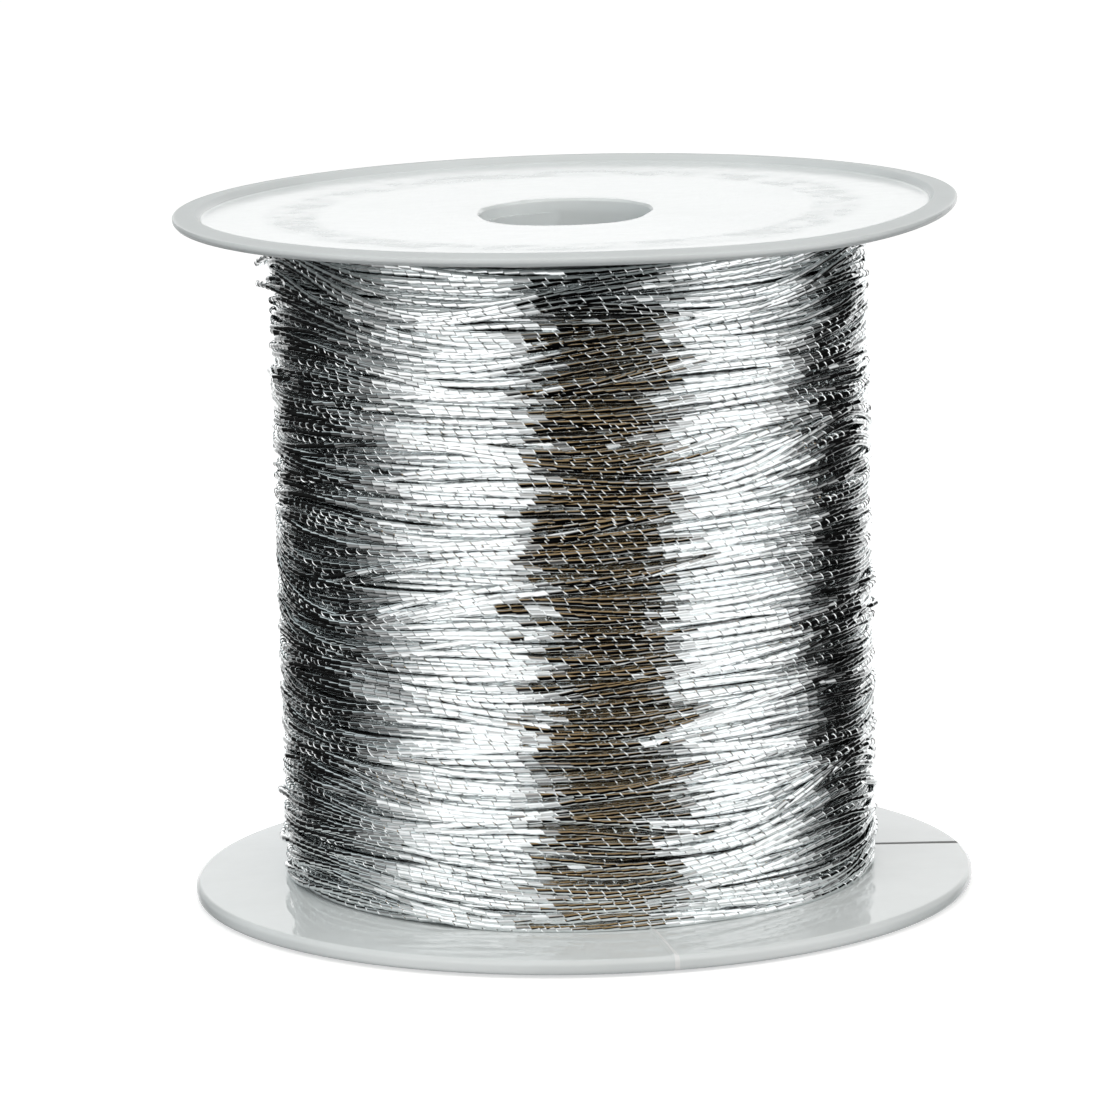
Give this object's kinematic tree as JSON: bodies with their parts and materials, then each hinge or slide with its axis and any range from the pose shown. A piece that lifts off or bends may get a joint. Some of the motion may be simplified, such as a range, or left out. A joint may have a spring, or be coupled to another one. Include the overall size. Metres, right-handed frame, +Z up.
{
  "type": "thread spool",
  "caption": "Small flanged plastic spool wound with silver metallic thread, with a bore through the middle for a spindle.",
  "frame": {"origin": "centre of the base, on the plane that the lower flange's lip rests on", "axes": "+Z up along the bore, from the lower flange to the upper one; the spool is round about Z"},
  "size_m": [0.06, 0.06, 0.0528],
  "materials": {
    "spool_plastic": "translucent cool white, satin to glossy",
    "thread": "bright silver film strip wrapped round a core"
  },
  "bodies": {
    "root": {"lower_flange": "spool_plastic", "upper_flange": "spool_plastic", "bore_tube": "spool_plastic", "drum": "spool_plastic", "thread_inner_layers": "thread", "thread_outer_layers": "thread"}
  },
  "joints": []
}
